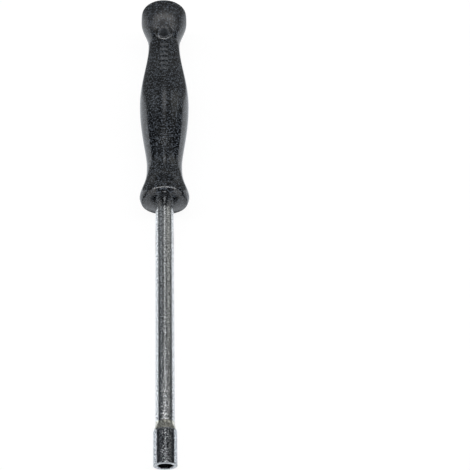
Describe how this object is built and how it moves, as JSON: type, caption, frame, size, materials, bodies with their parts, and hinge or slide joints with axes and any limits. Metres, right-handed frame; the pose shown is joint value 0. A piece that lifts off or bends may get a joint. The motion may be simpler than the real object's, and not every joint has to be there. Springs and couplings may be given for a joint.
{
  "type": "carburetor adjustment tool",
  "caption": "Slim hand driver with a hex socket tip on a chrome-plated rod and a swelling black plastic handle, for turning recessed carburetor screws.",
  "frame": {"origin": "middle of the socket's mouth, on the tool's axis", "axes": "+Y along the tool from the socket tip to the handle, +Z out of the side of the handle with the raised bars, X across the corners of the hex socket"},
  "size_m": [0.0182, 0.1842, 0.0183],
  "materials": {
    "handle_plastic": "moulded black plastic with a fine satin grain",
    "rod_chrome": "polished chrome plate on steel bar",
    "tip_chrome": "chrome plate over a turned steel sleeve"
  },
  "bodies": {
    "root": {"handle": "handle_plastic", "shaft": "rod_chrome", "socket_tip": "tip_chrome"}
  },
  "joints": []
}
